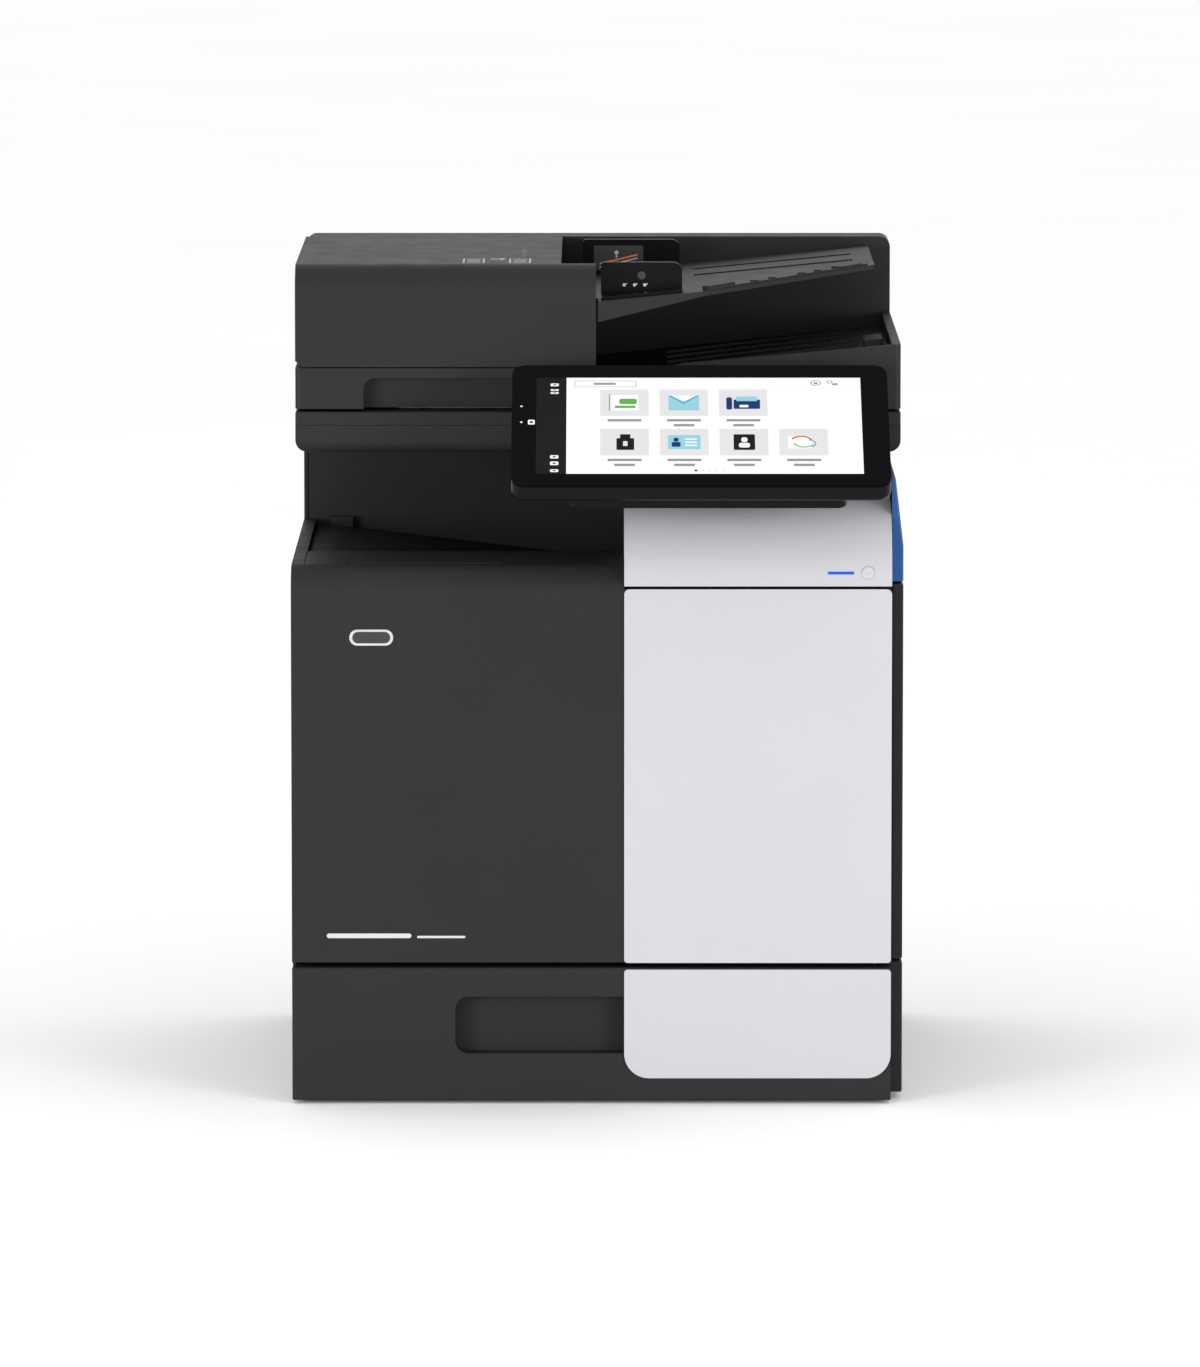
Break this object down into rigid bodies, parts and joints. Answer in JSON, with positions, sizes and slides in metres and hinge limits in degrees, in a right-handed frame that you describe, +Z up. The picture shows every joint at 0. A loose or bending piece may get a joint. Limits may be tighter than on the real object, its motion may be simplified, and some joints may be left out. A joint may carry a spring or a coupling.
{
  "type": "desktop multifunction photocopier",
  "caption": "Desktop multifunction photocopier with document feeder, flatbed scanner, tilting touch panel, in-body output bay and front paper cassette.",
  "frame": {"origin": "on the floor under the middle of the whole machine, touch panel included", "axes": "+X to the right as the user faces it, +Y to the back, +Z up"},
  "size_m": [0.42, 0.528, 0.5725],
  "materials": {
    "charcoal_plastic": "fine spark-textured moulding",
    "dark_plastic": "plain moulding",
    "white_plastic": "fine satin moulding",
    "blue_plastic": "satin moulding",
    "black_gloss": "polished",
    "screen_glass": "polished cover glass, black behind",
    "clear_glass": "polished float glass",
    "light_lens": "lit diffuser",
    "white_foam": "smooth film over foam",
    "rubber": "ground rubber",
    "drum_coating": "polished coating",
    "bright_steel": "brushed",
    "steel_sheet": "powder coated",
    "circuit_board": "solder mask"
  },
  "bodies": {
    "machine": {"rubber_feet": "rubber", "bottom_plate": "steel_sheet", "front_frame": "steel_sheet", "rear_frame": "steel_sheet", "left_cover": "charcoal_plastic", "right_lower_cover": "charcoal_plastic", "right_upper_cover": "charcoal_plastic", "accent_trim": "blue_plastic", "rear_cover": "steel_sheet", "rear_screws": "bright_steel", "output_deck": "charcoal_plastic", "shoulder_cover": "white_plastic", "status_light": "light_lens", "door_hinges": "steel_sheet", "side_door_hinges": "dark_plastic", "scanner_housing": "charcoal_plastic", "scanner_frame": "charcoal_plastic", "scan_glass": "clear_glass", "lid_hinges": "bright_steel", "panel_arm": "dark_plastic", "toner_cartridge": "dark_plastic", "laser_unit": "dark_plastic", "main_motor": "bright_steel", "fan_frame": "dark_plastic", "power_supply": "bright_steel", "main_board": "circuit_board", "rear_ports": "bright_steel", "power_inlet": "dark_plastic"},
    "cassette": {"cassette_front": "charcoal_plastic", "cassette_white_panel": "white_plastic", "cassette_tub": "dark_plastic"},
    "lift_plate": {"paper_lift_plate": "bright_steel"},
    "guide_front": {"paper_guide_front": "dark_plastic"},
    "guide_rear": {"paper_guide_rear": "dark_plastic"},
    "guide_end": {"paper_end_guide": "dark_plastic"},
    "door": {"front_door": "charcoal_plastic", "door_white_panel": "white_plastic"},
    "jam_door": {"side_door": "charcoal_plastic"},
    "bypass": {"bypass_tray": "charcoal_plastic"},
    "carriage": {"scan_carriage": "dark_plastic"},
    "feeder": {"feeder_base": "charcoal_plastic", "platen_pad": "white_foam", "feeder_rear_cover": "charcoal_plastic", "feeder_frame": "dark_plastic"},
    "feeder_cover": {"feed_cover": "charcoal_plastic"},
    "feeder_roller": {"document_feed_roller": "rubber"},
    "sheet_tray": {"document_tray": "charcoal_plastic"},
    "sheet_guide_front": {"document_guide_front": "black_gloss"},
    "sheet_guide_rear": {"document_guide_rear": "black_gloss"},
    "touch_panel": {"panel_housing": "black_gloss", "panel_glass": "screen_glass"},
    "button": {"power_button": "white_plastic"},
    "switch": {"mains_switch": "black_gloss"},
    "drum": {"photo_drum": "drum_coating"},
    "transfer": {"transfer_roller": "rubber"},
    "fuser": {"fuser_roller": "rubber"},
    "pressure": {"pressure_roller": "rubber"},
    "pickup": {"pickup_roller": "rubber"},
    "exit": {"exit_roller": "rubber"},
    "fan": {"fan_rotor": "dark_plastic"}
  },
  "joints": [
    {"name": "cassette_slide", "type": "slide", "parent": "machine", "child": "cassette", "axis": [0, -1, 0], "range_m": [0, 0.25]},
    {"name": "lift_plate_hinge", "type": "hinge", "parent": "cassette", "child": "lift_plate", "pos_m": [-0.066, 0, 0.0175], "axis": [0, -1, 0], "range_deg": [0, 15]},
    {"name": "guide_front_slide", "type": "slide", "parent": "cassette", "child": "guide_front", "axis": [0, 1, 0], "range_m": [0, 0.03]},
    {"name": "guide_rear_slide", "type": "slide", "parent": "cassette", "child": "guide_rear", "axis": [0, -1, 0], "range_m": [0, 0.03]},
    {"name": "guide_end_slide", "type": "slide", "parent": "cassette", "child": "guide_end", "axis": [1, 0, 0], "range_m": [0, 0.06]},
    {"name": "front_door_hinge", "type": "hinge", "parent": "machine", "child": "door", "pos_m": [0, -0.15, 0.104], "axis": [1, 0, 0], "range_deg": [0, 90]},
    {"name": "jam_door_hinge", "type": "hinge", "parent": "machine", "child": "jam_door", "pos_m": [0.2059, 0.02, 0.1015], "axis": [0, 1, 0], "range_deg": [0, 45]},
    {"name": "bypass_hinge", "type": "hinge", "parent": "jam_door", "child": "bypass", "pos_m": [0.20715, 0.042, 0.12625], "axis": [0, 1, 0], "range_deg": [0, 70]},
    {"name": "carriage_slide", "type": "slide", "parent": "machine", "child": "carriage", "axis": [1, 0, 0], "range_m": [0, 0.33]},
    {"name": "feeder_hinge", "type": "hinge", "parent": "machine", "child": "feeder", "pos_m": [0, 0.238, 0.479], "axis": [-1, 0, 0], "range_deg": [0, 60]},
    {"name": "feeder_cover_hinge", "type": "hinge", "parent": "feeder", "child": "feeder_cover", "pos_m": [-0.2019, 0.05, 0.5085], "axis": [0, -1, 0], "range_deg": [0, 70]},
    {"name": "feeder_roller_spin", "type": "hinge", "parent": "feeder", "child": "feeder_roller", "pos_m": [-0.0594, 0.04, 0.541], "axis": [0, 1, 0], "continuous": true},
    {"name": "sheet_tray_hinge", "type": "hinge", "parent": "feeder", "child": "sheet_tray", "pos_m": [-0.0194, 0.06, 0.549], "axis": [0, -1, 0], "range_deg": [0, 20]},
    {"name": "sheet_guide_front_slide", "type": "slide", "parent": "sheet_tray", "child": "sheet_guide_front", "axis": [0, 1, 0], "range_m": [0, 0.06]},
    {"name": "sheet_guide_rear_slide", "type": "slide", "parent": "sheet_tray", "child": "sheet_guide_rear", "axis": [0, -1, 0], "range_m": [0, 0.06]},
    {"name": "panel_tilt", "type": "hinge", "parent": "machine", "child": "touch_panel", "pos_m": [0.106, -0.19424, 0.43208], "axis": [1, 0, 0], "range_deg": [-10, 35]},
    {"name": "power_button_press", "type": "slide", "parent": "machine", "child": "button", "axis": [0, 1, 0], "range_m": [0, 0.002], "stiffness_N_per_m": 300},
    {"name": "mains_switch_rock", "type": "hinge", "parent": "machine", "child": "switch", "pos_m": [-0.11, 0.258, 0.046], "axis": [1, 0, 0], "range_deg": [-8, 8]},
    {"name": "drum_spin", "type": "hinge", "parent": "machine", "child": "drum", "pos_m": [0.1048, 0.03, 0.205], "axis": [0, 1, 0], "continuous": true},
    {"name": "transfer_spin", "type": "hinge", "parent": "machine", "child": "transfer", "pos_m": [0.1282, 0.03, 0.205], "axis": [0, 1, 0], "continuous": true},
    {"name": "fuser_spin", "type": "hinge", "parent": "machine", "child": "fuser", "pos_m": [0.1068, 0.03, 0.3], "axis": [0, 1, 0], "continuous": true},
    {"name": "pressure_spin", "type": "hinge", "parent": "machine", "child": "pressure", "pos_m": [0.1332, 0.03, 0.3], "axis": [0, 1, 0], "continuous": true},
    {"name": "pickup_spin", "type": "hinge", "parent": "machine", "child": "pickup", "pos_m": [0.132, 0, 0.11], "axis": [0, 1, 0], "continuous": true},
    {"name": "exit_spin", "type": "hinge", "parent": "machine", "child": "exit", "pos_m": [0.105, 0.06, 0.388], "axis": [0, 1, 0], "continuous": true},
    {"name": "fan_spin", "type": "hinge", "parent": "machine", "child": "fan", "pos_m": [-0.1965, 0.225, 0.173], "axis": [1, 0, 0], "continuous": true}
  ],
  "couplings": [
    {"joint": "transfer_spin", "follows": "drum_spin", "ratio": -1.875},
    {"joint": "fuser_spin", "follows": "drum_spin", "ratio": 1.1538},
    {"joint": "pressure_spin", "follows": "drum_spin", "ratio": -1.1538},
    {"joint": "exit_spin", "follows": "drum_spin", "ratio": 2.1429}
  ]
}
